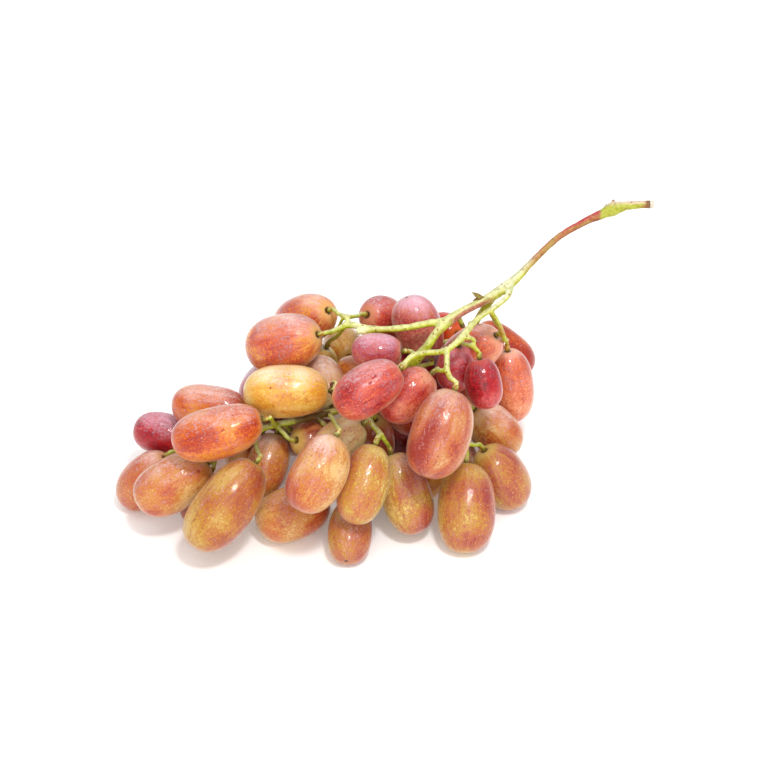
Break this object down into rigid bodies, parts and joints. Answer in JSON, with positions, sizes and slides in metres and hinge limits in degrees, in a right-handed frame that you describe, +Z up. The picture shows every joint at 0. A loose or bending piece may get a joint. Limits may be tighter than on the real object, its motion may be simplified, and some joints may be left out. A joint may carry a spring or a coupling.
{
  "type": "bunch of grapes",
  "caption": "Bunch of long pink and amber table grapes on its branching green stalk, lying on its side as picked.",
  "frame": {"origin": "middle of the whole bunch's footprint, on the surface that it lies on", "axes": "+X from the bunch's tip towards the cut end of its stalk, +Z up"},
  "size_m": [0.149, 0.0908, 0.0731],
  "materials": {
    "stem": "fresh green stalk, matte and slightly ribbed, browned at the cut end",
    "skin_amber": "thin waxy grape skin, amber flushed with orange, satin under a light bloom",
    "skin_peach": "thin waxy grape skin, peach orange flushed with pink, satin under a light bloom",
    "skin_coral": "thin waxy grape skin, coral red over yellow, satin under a light bloom",
    "skin_rose": "thin waxy grape skin, rose red, satin under a pale bloom",
    "skin_wine": "thin waxy grape skin, dark wine red, satin under a pale bloom"
  },
  "bodies": {
    "root": {"stem": "stem", "berry_01": "skin_coral", "berry_02": "skin_wine", "berry_03": "skin_peach", "berry_04": "skin_rose", "berry_05": "skin_coral", "berry_06": "skin_coral", "berry_07": "skin_amber", "berry_08": "skin_rose", "berry_09": "skin_wine", "berry_10": "skin_peach", "berry_11": "skin_amber", "berry_12": "skin_coral", "berry_13": "skin_coral", "berry_14": "skin_rose", "berry_15": "skin_amber", "berry_16": "skin_amber", "berry_17": "skin_peach", "berry_18": "skin_amber", "berry_19": "skin_peach", "berry_20": "skin_peach", "berry_21": "skin_peach", "berry_22": "skin_peach", "berry_23": "skin_rose", "berry_24": "skin_amber", "berry_25": "skin_peach", "berry_26": "skin_rose", "berry_27": "skin_wine", "berry_28": "skin_rose", "berry_29": "skin_wine", "berry_30": "skin_amber", "berry_31": "skin_rose", "berry_32": "skin_amber", "berry_33": "skin_wine", "berry_34": "skin_wine", "berry_35": "skin_wine", "berry_36": "skin_coral", "berry_37": "skin_coral", "berry_38": "skin_wine", "berry_39": "skin_amber", "berry_40": "skin_peach", "berry_41": "skin_rose", "berry_42": "skin_coral", "berry_43": "skin_wine", "berry_44": "skin_amber", "berry_45": "skin_amber", "berry_46": "skin_coral", "berry_47": "skin_coral", "berry_48": "skin_coral", "berry_49": "skin_peach", "berry_50": "skin_amber", "berry_51": "skin_coral", "berry_52": "skin_peach", "berry_53": "skin_rose", "berry_54": "skin_coral", "berry_55": "skin_amber", "berry_56": "skin_peach", "berry_57": "skin_peach", "berry_58": "skin_amber", "berry_59": "skin_rose"}
  },
  "joints": []
}
